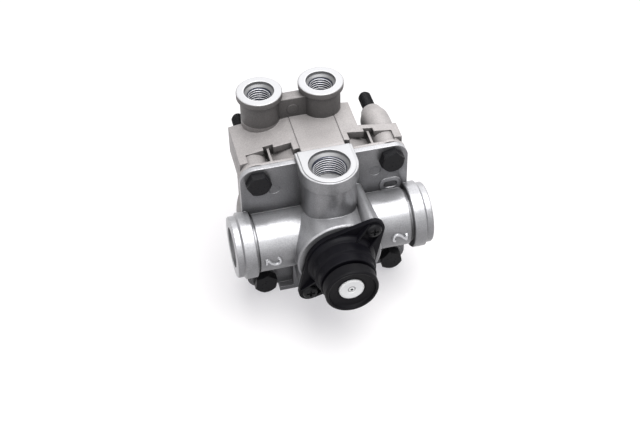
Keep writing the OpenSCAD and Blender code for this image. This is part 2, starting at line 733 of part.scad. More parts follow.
function spring_ring(t) =
    let (a = 360 * spring_turns * t, y = spring_front_y + (spring_rear_y - spring_front_y) * t)
    [for (i = [0:spring_sides - 1])
        let (b = 360 * i / spring_sides, r = spring_mid_r + spring_wire_d / 2 * cos(b))
        [r * cos(a), y + spring_wire_d / 2 * sin(b), r * sin(a)]];

module valve_spring() {
    n = round(spring_steps * spring_turns);
    points = [for (k = [0:n]) each spring_ring(k / n)];
    walls = [for (k = [0:n - 1], i = [0:spring_sides - 1])
                let (j = (i + 1) % spring_sides, a = k * spring_sides)
                [a + i, a + spring_sides + i, a + spring_sides + j, a + j]];
    ends = [[for (i = [0:spring_sides - 1]) i], [for (i = [spring_sides - 1:-1:0]) n * spring_sides + i]];
    color("#8d8f93") placed() polyhedron(points, concat(walls, ends));
}

module valve_guide() {
    groove_y = guide_mid_y;
    half = small_ring_t / 2 + 0.15;
    r_out = guide_bore_d / 2 - slide_gap;
    r_in = valve_stem_r + slide_gap;
    color("#2c2c31") placed() difference() {
        turned([[r_in, guide_rear_y], [r_out, guide_rear_y], [r_out, guide_front_y],
                [r_in, guide_front_y]]);
        turned([[r_out - small_ring_t, groove_y - half], [r_out + 1, groove_y - half],
                [r_out + 1, groove_y + half], [r_out - small_ring_t, groove_y + half]]);
        turned([[r_in - 1, groove_y - half], [r_in + small_ring_t, groove_y - half],
                [r_in + small_ring_t, groove_y + half], [r_in - 1, groove_y + half]]);
    }
}

module guide_outer_ring() {
    color(BLACK_RUBBER) placed()
        ring_y(guide_bore_d / 2 - small_ring_t / 2 - slide_gap, small_ring_t, guide_mid_y);
}

module guide_inner_ring() {
    color(BLACK_RUBBER) placed()
        ring_y(valve_stem_r + small_ring_t / 2 + slide_gap, small_ring_t, guide_mid_y);
}

// A snap ring around the Z axis, with its gap and two eyes
module snap_ring(outer_r, band, eye_r) {
    linear_extrude(snap_ring_t) difference() {
        union() {
            difference() {
                circle(outer_r);
                circle(outer_r - band);
            }
            for (a = [-14, 14]) rotate(a) translate([outer_r - band - eye_r / 2, 0]) circle(eye_r);
        }
        polygon([[0, 0], [outer_r * 2, outer_r * tan(12)], [outer_r * 2, -outer_r * tan(12)]]);
        for (a = [-14, 14]) rotate(a) translate([outer_r - band - eye_r / 2, 0]) circle(eye_r / 3);
    }
}

module guide_snap_ring() {
    color(BLACK_STEEL) placed() translate([0, snap_y, 0]) rotate([90, 0, 0])
        snap_ring(guide_bore_d / 2 + snap_depth - 0.1, 3, 2);
}

// Exhaust cover, flap and button

module exhaust_cover() {
    color(BLACK_PLASTIC) placed() difference() {
        union() {
            slab_y(cover_plate_y, cover_rear_y) {
                circle(cover_plate_d / 2);
                for (s = [-1, 1]) {
                    translate([s * screw_x, s * screw_z]) circle(cover_lobe_r);
                    lobe_flank(s);
                }
            }
            turned([[0, cover_rear_y], [cover_barrel_r + 2, cover_rear_y],
                    [cover_barrel_r + 2, cover_plate_y - 1], [cover_barrel_r + 1, cover_plate_y - 2.5],
                    [cover_barrel_r, cover_plate_y - 3.5],
                    [cover_barrel_r, cover_step_y], [cover_barrel_r - 1.4, cover_step_y - 1],
                    [cover_barrel_r - 1.4, cover_front_y + 0.6], [cover_barrel_r - 2, cover_front_y],
                    [0, cover_front_y]]);
            // Gussets between the lobes and the barrel
            for (s = [-1, 1], side = [-1, 1]) cover_gusset(s, side);
        }
        turned([[0, cover_rear_y + 1], [cover_barrel_r - 0.5, cover_rear_y + 1],
                [cover_barrel_r - cover_wall, cover_plate_y - 2],
                [cover_barrel_r - cover_wall - 1.4, cover_step_y],
                [cover_barrel_r - cover_wall - 1.4, cover_front_y + 2.4], [0, cover_front_y + 2.4]]);
        rod_y(button_shank_r + slide_gap, cover_front_y - 1, cover_rear_y);
        // Exhaust holes behind the flap
        for (a = [0:45:315]) rotate([0, a, 0]) translate([0, 0, 8.6])
            rod_y(2.4, cover_front_y - 1, cover_front_y + 3);
        at_screws() rod_y(screw_d / 2 + 0.3, cover_plate_y - 1, cover_rear_y + 1);
    }
}

// Straight flanks that run from the plate's circle to a lobe
module lobe_flank(s) {
    reach = norm([screw_x, screw_z]);
    lean = acos((cover_plate_d / 2 - cover_lobe_r) / reach);
    turn = atan2(screw_z, screw_x) + (s < 0 ? 180 : 0);
    rotate(turn) polygon([
        [0, 0], cover_plate_d / 2 * [cos(lean), -sin(lean)],
        [reach, 0] + cover_lobe_r * [cos(lean), -sin(lean)],
        [reach, 0] + cover_lobe_r * [cos(lean), sin(lean)], cover_plate_d / 2 * [cos(lean), sin(lean)]
    ]);
}

module cover_gusset(s, side) {
    turn = atan2(screw_z, screw_x) + (s < 0 ? 180 : 0);
    reach = norm([screw_x, screw_z]);
    rotate([0, -turn, 0]) translate([0, 0, side * (screw_head_d / 2 + 0.6)])
        linear_extrude(1.2, center = true) polygon([
            [cover_barrel_r - 3, cover_plate_y + 0.5], [reach + 2, cover_plate_y + 0.5],
            [reach + 2, cover_plate_y - 0.8], [cover_barrel_r - 3, cover_plate_y - 4.5]
        ]);
}

module exhaust_flap() {
    color(BLACK_RUBBER) placed() turned([
        [button_shank_r + slide_gap, flap_rear_y], [6, flap_rear_y], [6, flap_rear_y - 2.6],
        [flap_r - 3.4, flap_rear_y - 3.6], [flap_r - 2.6, flap_rear_y - 1], [flap_r - 1, flap_rear_y - 1],
        [flap_r, flap_rear_y - 2], [flap_r, flap_front_y + 1], [flap_r - 0.6, flap_front_y + 0.2],
        [flap_r - 1.2, flap_front_y], [flap_r - 1.9, flap_front_y + 0.3], [flap_r - 2.3, flap_front_y + 1.5],
        [flap_r - 2.9, button_y + 0.6], [button_r + 1.4, button_y + 1],
        [button_r + 0.6, button_y + 0.6],
        [button_r + 0.2, button_y + 1.2], [button_r + 0.2, button_back_y],
        [button_shank_r + slide_gap, button_back_y]
    ]);
}

module flap_button() {
    head_y = button_back_y - seat_gap;
    color("#f2f2f0") placed() turned([
        [0, button_y + 0.9], [0.3 * dimple_r, button_y + 0.9], [0.3 * dimple_r, button_y + 0.35],
        [0.6 * dimple_r, button_y + 0.35], [0.7 * dimple_r, button_y + 0.65],
        [0.9 * dimple_r, button_y + 0.65], [dimple_r, button_y + 0.25],
        [button_r - 1, button_y], [button_r - 0.2, button_y + 0.4], [button_r, button_y + 1],
        [button_r, head_y], [button_shank_r, head_y], [button_shank_r, button_barb_y],
        [button_shank_r + 0.9, button_barb_y], [button_shank_r - 0.8, button_barb_y + button_barb_h],
        [0, button_barb_y + button_barb_h]
    ]);
}

// Fasteners
module cover_screws() {
    head_y = cover_plate_y - screw_head_h;
    color(BLACK_STEEL) placed() at_screws() difference() {
        union() {
            turned([[0, cover_plate_y - seat_gap], [screw_head_d / 2, cover_plate_y - seat_gap],
                    [screw_head_d / 2, cover_plate_y - screw_head_h * 0.5],
                    [screw_head_d / 2 - 0.8, cover_plate_y - screw_head_h * 0.85],
                    [screw_head_d * 0.27, head_y], [0, head_y]]);
            rod_y(screw_d / 2, cover_plate_y - 0.5, screw_tip_y);
        }
        for (a = [0, 90]) rotate([0, a, 0])
            box([-cross_r, head_y - 1, -cross_w / 2], [cross_r, head_y + cross_depth, cross_w / 2]);
    }
}

// The head sits at seat_y. The shank is slimmer than the thread, which starts at thread_y
module hex_bolt(seat_y, thread_y, tip_y, turn) {
    head_front_y = seat_y - bolt_head_h;
    rotate([0, -turn, 0]) intersection() {
        translate([0, seat_y - seat_gap, 0]) rotate([90, 0, 0])
            cylinder(r = bolt_head_r, h = bolt_head_h - seat_gap, $fn = 6);
        turned([[0, seat_y], [bolt_head_r, seat_y], [bolt_head_r, head_front_y + 0.9],
                [bolt_flats / 2 - 0.2, head_front_y], [0, head_front_y]]);
    }
    rod_y(bolt_shank_r, seat_y - 0.5, thread_y + eps);
    turned([[0, thread_y], [bolt_d / 2, thread_y], [bolt_d / 2, tip_y - 1],
            [bolt_d / 2 - 0.9, tip_y], [0, tip_y]]);
}

module long_bolts() {
    color(BLACK_STEEL) placed() for (s = [-1, 1])
        translate([s * bolt_x, 0, bolt_z])
            hex_bolt(flange_front_y, stud_boss_y, stud_boss_y + stud_out, s < 0 ? 0 : 15);
}

module short_bolts() {
    color(BLACK_STEEL) placed() for (s = [-1, 1])
        translate([s * bolt_x, 0, -bolt_z]) hex_bolt(pad_front_y, 1, short_bolt_in, s < 0 ? 20 : 40);
}

module at_check() {
    placed() translate([0, control_y, check_z]) children();
}

module check_shuttle() {
    x0 = shuttle_x + face_t;
    x1 = shuttle_x + shuttle_len - face_t;
    color("#e8e4d8") at_check() {
        rod_x(check_r - 1.5, x0, x1);
        intersection() {
            rod_x(check_r - slide_gap, x0, x1);
            union() for (a = [0, 90]) rotate([a, 0, 0]) box([x0, -0.6, -check_r], [x1, 0.6, check_r]);
        }
    }
}

module shuttle_faces() {
    color(BLACK_RUBBER) at_check() for (x = [shuttle_x, shuttle_x + shuttle_len - face_t])
        rod_x(check_r - 0.6, x, x + face_t);
}

module check_seat() {
    color("#b9a15a") at_check() difference() {
        rod_x(check_r - slide_gap, seat_bush_x, seat_bush_x + seat_bush_len);
        rod_x(check_hole_d / 2, seat_bush_x - 1, seat_bush_x + seat_bush_len + 1);
    }
}

module check_plug() {
    color("#8d8f93") at_check() difference() {
        translate([check_plug_x, 0, 0]) rotate([0, 90, 0])
            rotate_extrude() polygon([[0, 0], [check_r - 0.6, 0], [check_r - thread_gap, 0.6],
                                      [check_r - thread_gap, check_plug_end_x - check_plug_x],
                                      [0, check_plug_end_x - check_plug_x]]);
        translate([check_plug_end_x - check_socket_depth, 0, 0]) rotate([0, 90, 0])
            cylinder(d = check_socket_d / cos(30), h = check_socket_depth + 1, $fn = 6);
    }
}

lower_body();
upper_housing();
housing_seal();
relay_piston();
piston_ring();
valve_body();
valve_rubber();
valve_spring();
valve_guide();
guide_outer_ring();
guide_inner_ring();
guide_snap_ring();
exhaust_cover();
exhaust_flap();
flap_button();
cover_screws();
long_bolts();
short_bolts();
check_shuttle();
shuttle_faces();
check_seat();
check_plug();
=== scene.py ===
"""Looks of a pneumatic relay valve: threads, numerals, finishes, camera and light.

The packed solids are loaded as a fixed frame, in metres. X runs through the two delivery ports,
-Y out of the exhaust, and Z up through the supply and control ports.
"""
import json
import math

import bmesh
import bpy
from bpy.props import FloatProperty, FloatVectorProperty, IntProperty, PointerProperty
from mathutils import Matrix, Vector


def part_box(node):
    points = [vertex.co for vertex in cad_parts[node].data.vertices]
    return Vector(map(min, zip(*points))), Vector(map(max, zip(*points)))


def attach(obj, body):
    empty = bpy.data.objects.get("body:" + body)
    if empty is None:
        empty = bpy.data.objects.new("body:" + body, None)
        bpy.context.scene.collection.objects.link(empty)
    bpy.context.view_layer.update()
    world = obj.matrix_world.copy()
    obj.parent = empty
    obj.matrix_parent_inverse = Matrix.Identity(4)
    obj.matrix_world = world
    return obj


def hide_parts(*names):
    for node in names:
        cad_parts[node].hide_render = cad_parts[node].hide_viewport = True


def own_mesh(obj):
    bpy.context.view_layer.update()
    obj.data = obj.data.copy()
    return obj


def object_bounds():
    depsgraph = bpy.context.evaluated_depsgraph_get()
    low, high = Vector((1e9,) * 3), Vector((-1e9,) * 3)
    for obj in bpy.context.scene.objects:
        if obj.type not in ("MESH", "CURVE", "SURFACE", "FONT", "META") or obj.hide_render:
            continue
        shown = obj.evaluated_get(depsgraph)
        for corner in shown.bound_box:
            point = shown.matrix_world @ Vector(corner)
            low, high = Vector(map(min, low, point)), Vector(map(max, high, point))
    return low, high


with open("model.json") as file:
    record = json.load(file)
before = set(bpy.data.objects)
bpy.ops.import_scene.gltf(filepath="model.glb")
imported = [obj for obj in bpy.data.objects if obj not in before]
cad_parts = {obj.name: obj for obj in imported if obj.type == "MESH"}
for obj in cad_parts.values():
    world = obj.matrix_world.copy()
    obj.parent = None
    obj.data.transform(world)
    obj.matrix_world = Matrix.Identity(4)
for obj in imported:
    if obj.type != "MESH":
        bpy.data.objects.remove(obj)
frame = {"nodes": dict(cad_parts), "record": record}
CAD_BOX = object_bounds()

bl_info = {
    "name": "Pneumatic relay valve",
    "version": (1, 0, 0),
    "blender": (4, 5, 0),
    "location": "View3D > Sidebar > Relay valve",
    "description": "Builds the threads, numerals and finishes of a pneumatic relay valve",
    "category": "Object",
}

MM = 0.001
HOUSING = "housing"
PORTS = {m["name"]: m for m in frame["record"]["mounts"] if m["kind"] == "threaded_hole"}
STUDS = next(m for m in frame["record"]["mounts"] if m["name"] == "studs")

# Raised blank ring on the right of the lower body's flange: middle, half sizes outside and inside
RING_PLACE = (40.25 * MM, -43.9 * MM, -21.25 * MM)
RING_OUTER = (7.0 * MM, 0.4 * MM, 5.4 * MM)
RING_INNER = (3.9 * MM, 0.5 * MM, 2.3 * MM)
PORT_REACH = 2.4 * MM
# Where the castings part along Y
PARTING = -40.0 * MM
TURNING_PITCH = 0.35 * MM


class ThreadSizes(bpy.types.PropertyGroup):
    """Threads of the ports and of the two mounting studs."""

    port_pitch: FloatProperty(
        name="Port pitch", description="Pitch of the port threads",
        default=1.69 * MM, min=0.8 * MM, max=2 * MM, precision=5, unit="LENGTH")
    port_depth: FloatProperty(
        name="Port thread depth", description="Height of the port threads' ridge",
        default=0.8 * MM, min=0.2 * MM, max=1.2 * MM, precision=5, unit="LENGTH")
    stud_pitch: FloatProperty(
        name="Stud pitch", description="Pitch of the threads on the studs",
        default=1.25 * MM, min=0.8 * MM, max=1.5 * MM, precision=5, unit="LENGTH")
    stud_depth: FloatProperty(
        name="Stud thread depth", description="Depth of the grooves on the studs",
        default=0.62 * MM, min=0.2 * MM, max=0.9 * MM, precision=5, unit="LENGTH")
    turns: FloatProperty(
        name="Turns", description="Most turns that a port's thread has", default=7.5, min=3, max=9)
    columns: IntProperty(
        name="Sides", description="Points round each thread", default=72, min=24, max=128)


class CastingSizes(bpy.types.PropertyGroup):
    """The band round the supply port's collar."""

    collar_radius: FloatProperty(
        name="Collar radius", description="Radius of the supply port's collar",
        default=16.2 * MM, min=15 * MM, max=18 * MM, unit="LENGTH", precision=5)
    collar_height: FloatProperty(
        name="Collar height", description="Height of the collar's band",
        default=9.4 * MM, min=6 * MM, max=12 * MM, unit="LENGTH", precision=5)
    collar_edge: FloatProperty(
        name="Collar edge", description="How far the band stands out of the collar",
        default=1.1 * MM, min=0.2 * MM, max=2 * MM, unit="LENGTH", precision=5)
    collar_back: FloatProperty(
        name="Collar set back", description="How far the band's arc stands behind the port's axis",
        default=0.9 * MM, min=0, max=1.4 * MM, unit="LENGTH", precision=5)


class NumeralSizes(bpy.types.PropertyGroup):
    """The raised port numerals on the delivery necks."""

    height: FloatProperty(
        name="Height", description="Height of a numeral", default=8.6 * MM, min=4 * MM, max=12 * MM,
        precision=5, unit="LENGTH")
    stroke: FloatProperty(
        name="Stroke", description="Width of a numeral's stroke", default=1.35 * MM, min=0.6 * MM,
        max=2.4 * MM, precision=5, unit="LENGTH")
    relief: FloatProperty(
        name="Relief", description="How far a numeral stands out", default=1.2 * MM, min=0.2 * MM,
        max=1.2 * MM, precision=5, unit="LENGTH")
    place: FloatProperty(
        name="Place", description="Distance of a numeral's middle from the working axis",
        default=38.8 * MM, min=36 * MM, max=40 * MM, precision=5, unit="LENGTH")
    neck_radius: FloatProperty(
        name="Neck radius", description="Radius of the delivery necks", default=17.5 * MM,
        min=16.5 * MM, max=18 * MM, precision=5, unit="LENGTH")


class FinishColours(bpy.types.PropertyGroup):
    """Colours of the finishes, as linear values."""

    cast_bright: FloatVectorProperty(
        name="Lower casting", description="Colour of the bright lower body", subtype="COLOR",
        default=(0.28, 0.28, 0.29), min=0, max=1)
    cast_matt: FloatVectorProperty(
        name="Upper casting", description="Colour of the matt upper housing", subtype="COLOR",
        default=(0.39, 0.368, 0.364), min=0, max=1)
    machined: FloatVectorProperty(
        name="Machined faces", description="Colour of the cut faces and threads", subtype="COLOR",
        default=(0.8, 0.8, 0.82), min=0, max=1)
    black_steel: FloatVectorProperty(
        name="Black steel", description="Colour of the bolts, screws and snap ring", subtype="COLOR",
        default=(0.009, 0.009, 0.0105), min=0, max=1)
    black_plastic: FloatVectorProperty(
        name="Black plastic", description="Colour of the exhaust cover", subtype="COLOR",
        default=(0.0045, 0.0043, 0.0062), min=0, max=1)
    rubber: FloatVectorProperty(
        name="Rubber", description="Colour of the flap and seals", subtype="COLOR",
        default=(0.004, 0.0038, 0.005), min=0, max=1)
    button: FloatVectorProperty(
        name="Button", description="Colour of the flap's button", subtype="COLOR",
        default=(0.95, 0.95, 0.95), min=0, max=1)


class StageSettings(bpy.types.PropertyGroup):
    """Camera, floor and light."""

    azimuth: FloatProperty(
        name="Azimuth", description="Turn of the camera round the upright axis",
        default=math.radians(-13.27), subtype="ANGLE")
    elevation: FloatProperty(
        name="Elevation", description="Height angle of the camera",
        default=math.radians(44.07), subtype="ANGLE")
    roll: FloatProperty(
        name="Roll", description="Roll of the camera", default=math.radians(-1.21), subtype="ANGLE")
    place: FloatVectorProperty(
        name="Place", description="Place of the camera", default=(-0.1333, -0.5940, 0.5124),
        subtype="XYZ", precision=4)
    lens: FloatProperty(
        name="Lens", description="Focal length of the camera, in millimetres", default=73.23,
        min=35, max=200)
    floor_size: FloatProperty(
        name="Floor", description="Width of the floor", default=6.0, min=1, max=20, unit="LENGTH")


SETTINGS = {
    "valve_castings": CastingSizes,
    "valve_threads": ThreadSizes,
    "valve_numerals": NumeralSizes,
    "valve_colours": FinishColours,
    "valve_stage": StageSettings,
}


class Finish:
    """A node material on one Principled surface, with a base of helper nodes for its pattern."""

    def __init__(self, name, colour, roughness, metallic=0.0, **sockets):
        self.material = bpy.data.materials.new(name)
        self.material.use_nodes = True
        tree = self.material.node_tree
        self.nodes = tree.nodes
        self.links = tree.links
        self.surface = self.nodes["Principled BSDF"]
        self.colour = (*colour, 1.0)
        self.roughness = roughness
        self.set_socket(self.surface, "Base Color", self.colour)
        self.set_socket(self.surface, "Roughness", roughness)
        self.set_socket(self.surface, "Metallic", metallic)
        for socket, value in sockets.items():
            self.set_socket(self.surface, socket.replace("_", " "), value)
        coordinates = self.add("ShaderNodeTexCoord").outputs
        self.place = coordinates["Object"]
        self.normal = coordinates["Normal"]

    def set_socket(self, node, socket, value):
        target = node.inputs[socket]
        if isinstance(value, bpy.types.NodeSocket):
            self.links.new(value, target)
        else:
            target.default_value = value

    def add(self, kind, inputs=(), **settings):
        """A node with its settings, and its inputs linked or set by name or number."""
        node = self.nodes.new(kind)
        for key, value in settings.items():
            setattr(node, key, value)
        for socket, value in dict(inputs).items():
            self.set_socket(node, socket, value)
        return node

    def math(self, operation, a, b=0.0, clamp=False):
        return self.add("ShaderNodeMath", {0: a, 1: b}, operation=operation, use_clamp=clamp).outputs[0]

    def vector(self, operation, a, b=(0, 0, 0)):
        node = self.add("ShaderNodeVectorMath", {0: a, 1: b}, operation=operation)
        return node.outputs["Value" if operation in ("LENGTH", "DOT_PRODUCT") else "Vector"]

    def noise(self, size, detail=3.0, roughness=0.5):
        """Noise whose blotches are about size metres wide."""
        node = self.add("ShaderNodeTexNoise", {"Vector": self.place, "Scale": 1 / size,
                                               "Detail": detail, "Roughness": roughness})
        return node.outputs["Fac"]

    def spread(self, value, low, high, start=0.35, end=0.65):
        """The value's span from start to end, mapped to low and high."""
        node = self.add("ShaderNodeMapRange", {"Value": value, "From Min": start, "From Max": end,
                                               "To Min": low, "To Max": high})
        return node.outputs["Result"]

    def mix_colour(self, factor, a, b):
        node = self.add("ShaderNodeMix", {"Factor": factor}, data_type="RGBA")
        self.set_socket(node, 6, a)
        self.set_socket(node, 7, b)
        return node.outputs[2]

    def mix_value(self, factor, a, b):
        node = self.add("ShaderNodeMix", {"Factor": factor, 2: a, 3: b})
        return node.outputs[0]

    def tint(self, factor):
        """The base colour, darkened or lightened by a factor from the nodes."""
        node = self.add("ShaderNodeHueSaturation", {"Value": factor, "Color": self.colour})
        return node.outputs["Color"]

    def relief(self, layers, edge_radius=0.0):
        """Bumps one over the other, each a height and its depth in metres, over rounded edges."""
        normal = None
        if edge_radius:
            normal = self.add("ShaderNodeBevel", {"Radius": edge_radius}, samples=6).outputs["Normal"]
        for height, depth in layers:
            bump = self.add("ShaderNodeBump", {"Height": height, "Distance": depth, "Strength": 1.0})
            if normal is not None:
                self.set_socket(bump, "Normal", normal)
            normal = bump.outputs["Normal"]
        self.set_socket(self.surface, "Normal", normal)

    def beyond(self, axis, level):
        """1 where the place along an axis is over a level."""
        return self.math("GREATER_THAN", self.vector("DOT_PRODUCT", self.place, axis), level)

    def facing(self, axis):
        """Cosine between the surface's normal and an axis."""
        return self.vector("DOT_PRODUCT", self.normal, axis)

    def in_box(self, middle, half):
        """1 inside a box."""
        offset = self.vector("ABSOLUTE", self.vector("SUBTRACT", self.place, middle))
        split = self.add("ShaderNodeSeparateXYZ", {0: offset}).outputs
        inside = 1.0
        for part, limit in zip(split, half):
            inside = self.math("MULTIPLY", inside, self.math("LESS_THAN", part, limit))
        return inside

    def near_port(self, port, reach):
        """1 on the wall and countersink of a port, and the distance from its axis."""
        axis = Vector(port["axis"])
        length = port["dims"]["length_mm"] * MM
        bottom = Vector(port["pos_m"]) - axis * (length / 2 + 0.2 * MM)
        offset = self.vector("SUBTRACT", self.place, tuple(bottom))
        radial = self.vector("LENGTH", self.vector("CROSS_PRODUCT", offset, tuple(axis)))
        above = self.math("GREATER_THAN", self.vector("DOT_PRODUCT", offset, tuple(axis)), 0.0)
        return self.math("MULTIPLY", self.math("LESS_THAN", radial, reach), above), radial

    def largest(self, *masks):
        result = masks[0]
        for mask in masks[1:]:
            result = self.math("MAXIMUM", result, mask)
        return result

    def shade_in_corners(self, reach, low):
        """A factor from low, deep in corners, up to 1 on open faces."""
        node = self.add("ShaderNodeAmbientOcclusion", {"Distance": reach}, samples=8)
        return self.spread(node.outputs["AO"], low, 1.0, 0.3, 0.95)

    def seen_rays(self):
        """1 for the rays that show this surface: camera, glossy and transmission rays."""
        path = self.add("ShaderNodeLightPath").outputs
        return self.largest(*(path[f"Is {kind} Ray"] for kind in ("Camera", "Glossy", "Transmission")))

    def put_on(self, *objects):
        for thing in objects:
            thing.data.materials.clear()
            thing.data.materials.append(self.material)


def cast_finish(name, colour, machined, ports, faces, rim, necks, roughness, metallic, corner_shade,
                painted_top_light):
    """Die-cast aluminium with a fine skin, with painted shade in its corners, and paler on the flange's rim,
    which runs from rim[0] to rim[1] along Y. Faces that point up get painted light, the top factor over
    their walls; faces that point to the front get painted shade; the walls over the necks' level get
    painted shade, and all faces there a little too. The ports, and each face given as an axis and the
    level that it starts at, are turned bright."""
    finish = Finish(name, colour, roughness, metallic)
    grain = finish.noise(0.75 * MM, detail=4.0, roughness=0.65)
    skin = finish.noise(2.6 * MM, detail=3.0)
    cloud = finish.noise(15 * MM, detail=2.0)
    tone = finish.math("MULTIPLY", finish.spread(grain, 0.86, 1.12), finish.spread(cloud, 0.93, 1.06))
    upright = finish.spread(finish.facing((0, 0, 1)), 1.0, 0.25, 0.2, 0.8)
    # Painted shade: walls are darkened in their corners by the ambient occlusion factor.
    corners = finish.mix_value(upright, 1.0, finish.shade_in_corners(26 * MM, corner_shade))
    tone = finish.math("MULTIPLY", tone, corners)
    # Painted light: faces that point up are made lighter by the top factor.
    tone = finish.math("MULTIPLY", tone, finish.mix_value(upright, painted_top_light, 1.0))
    ring = finish.in_box(RING_PLACE, RING_OUTER)
    hollow_shade = finish.in_box(RING_PLACE, RING_INNER)
    raised = finish.beyond((0, -1, 0), 0.3 * MM - RING_PLACE[1] - 0.15 * MM)
    tone = finish.math("MULTIPLY", tone, finish.mix_value(finish.math("MULTIPLY", ring, raised), 1.0, 1.5))
    # Painted shade: the hollow inside the blank ring is darkened.
    tone = finish.math("MULTIPLY", tone, finish.mix_value(hollow_shade, 1.0, 0.6))
    flank = finish.math("LESS_THAN", finish.math("ABSOLUTE", finish.facing((0, 1, 0))), 0.4)
    edge = finish.math("MULTIPLY", finish.beyond((0, 1, 0), rim[0]), finish.beyond((0, -1, 0), -rim[1]))
    edge = finish.math("MULTIPLY", edge, finish.math("MULTIPLY", flank, finish.beyond((0, 0, 1), -30 * MM)))
    tone = finish.math("MULTIPLY", tone, finish.mix_value(edge, 1.0, 1.12))
    # Painted shade: the walls over the necks' level are darkened, and all faces there a little.
    neck = finish.math("MULTIPLY", upright, finish.beyond((0, 0, 1), necks))
    tone = finish.math("MULTIPLY", tone, finish.mix_value(neck, 1.0, 0.45))
    tone = finish.math("MULTIPLY", tone, finish.mix_value(finish.beyond((0, 0, 1), necks), 1.0, 0.8))
    # Painted shade: faces that point to the front are darkened.
    front = finish.spread(finish.facing((0, -1, 0)), 1.0, 0.84, 0.4, 0.9)
    tone = finish.math("MULTIPLY", tone, front)
    wall, waves, bottom = 0.0, 0.0, 0.0
    for port in ports:
        mask, radial = finish.near_port(port, port["dims"]["r_mm"] * MM + PORT_REACH)
        wave = finish.math("SINE", finish.math("MULTIPLY", radial, 2 * math.pi / TURNING_PITCH))
        wall = finish.largest(wall, mask)
        level = finish.math("GREATER_THAN", finish.facing(tuple(port["axis"])), 0.9)
        bottom = finish.largest(bottom, finish.math("MULTIPLY", mask, level))
        waves = finish.math("ADD", waves, finish.math("MULTIPLY", wave, mask))
    flat = finish.largest(*(finish.math("MULTIPLY", finish.beyond(axis, level), finish.math(
        "GREATER_THAN", finish.facing(axis), 0.6)) for axis, level in faces))
    cut = finish.largest(wall, flat)
    bright = finish.add("ShaderNodeHueSaturation", {
        "Value": finish.largest(
            finish.mix_value(flat, 0.25, 0.66), finish.math("MULTIPLY", bottom, 0.8)), "Color": (*machined, 1.0)}).outputs["Color"]
    finish.set_socket(finish.surface, "Base Color", finish.mix_colour(cut, finish.tint(tone), bright))
    finish.set_socket(finish.surface, "Metallic", finish.mix_value(cut, metallic, 0.4))
    rough = finish.spread(skin, roughness - 0.05, roughness + 0.06)
    finish.set_socket(finish.surface, "Roughness", finish.mix_value(cut, rough, 0.42))
    finish.relief([(skin, 0.06 * MM), (grain, 0.015 * MM), (waves, 0.004 * MM)], edge_radius=0.9 * MM)
    return finish


def turned_finish(name, colour, roughness, axis=1):
    """Turned metal with fine rings across one axis."""
    finish = Finish(name, colour, roughness, metallic=0.9)
    scratch = finish.add("ShaderNodeTexNoise", {
        "Vector": finish.vector("MULTIPLY", finish.place,
                                tuple(5000.0 if i == axis else 60.0 for i in range(3))),
        "Scale": 1.0, "Detail": 2.0}).outputs["Fac"]
    finish.set_socket(finish.surface, "Base Color", finish.tint(finish.spread(scratch, 0.9, 1.06)))
    finish.set_socket(finish.surface, "Roughness", finish.spread(scratch, roughness - 0.06,
                                                                 roughness + 0.08))
    finish.relief([(scratch, 0.01 * MM)], edge_radius=0.2 * MM)
    return finish


def thread_finish(port, colour, depth):
    """Cut thread of one port: bright on its crests, with painted shade, dark blue-grey, at its root."""
    finish = Finish(f"{port['name']} thread", colour, 0.38, metallic=0.5)
    root = port["dims"]["r_mm"] * MM
    radial = finish.near_port(port, root + PORT_REACH)[1]
    # Painted shade: the thread's root is dark blue-grey, and its crests keep the bright colour.
    height = finish.spread(radial, 1.0, 0.0, root - 0.8 * depth, root - 0.66 * depth)
    finish.set_socket(finish.surface, "Base Color",
                      finish.mix_colour(height, (0.03, 0.034, 0.055, 1.0), finish.colour))
    return finish


def black_steel_finish(colour):
    """Black oxide on steel, a little worn to metal and oily in patches."""
    finish = Finish("black steel", colour, 0.34, metallic=0.05, Specular_IOR_Level=0.15)
    patch = finish.noise(1.6 * MM, detail=5.0)
    fine = finish.noise(0.25 * MM, detail=3.0)
    finish.set_socket(finish.surface, "Base Color",
                      finish.mix_colour(finish.spread(patch, 0.0, 0.4, 0.55, 0.8), finish.colour,
                                        (0.035, 0.03, 0.027, 1.0)))
    finish.set_socket(finish.surface, "Roughness", finish.spread(patch, 0.26, 0.46))
    finish.relief([(fine, 0.02 * MM)], edge_radius=0.3 * MM)
    return finish


def moulded_finish(name, colour, roughness, grain_size, grain_depth, **sockets):
    """Moulded plastic or rubber with a fine even grain."""
    finish = Finish(name, colour, roughness, **sockets)
    grain = finish.noise(grain_size, detail=3.0)
    patch = finish.noise(9 * MM, detail=2.0)
    finish.set_socket(finish.surface, "Base Color", finish.tint(finish.spread(patch, 0.85, 1.15)))
    finish.set_socket(finish.surface, "Roughness", finish.spread(patch, roughness - 0.05,
                                                                 roughness + 0.06))
    finish.relief([(grain, grain_depth)], edge_radius=0.3 * MM)
    return finish



def new_piece(name, mesh_maker, finish, smooth=True):
    """An object on the housing from a bmesh that mesh_maker fills, with a finish."""
    bm = bmesh.new()
    mesh_maker(bm)
    bmesh.ops.recalc_face_normals(bm, faces=bm.faces)
    mesh = bpy.data.meshes.new(name)
    bm.to_mesh(mesh)
    bm.free()
    if smooth:
        mesh.shade_smooth()
    piece = bpy.data.objects.new(name, mesh)
    bpy.context.scene.collection.objects.link(piece)
    finish.put_on(piece)
    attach(piece, HOUSING)
    return piece


def add_grid(bm, rows, closed=True, smooth=False):
    """Faces between rows of points; each row is a loop when closed."""
    made = [[bm.verts.new(point) for point in row] for row in rows]
    for lower, upper in zip(made, made[1:]):
        count = len(lower)
        for i in range(count if closed else count - 1):
            j = (i + 1) % count
            bm.faces.new((lower[i], lower[j], upper[j], upper[i])).smooth = smooth
    return made


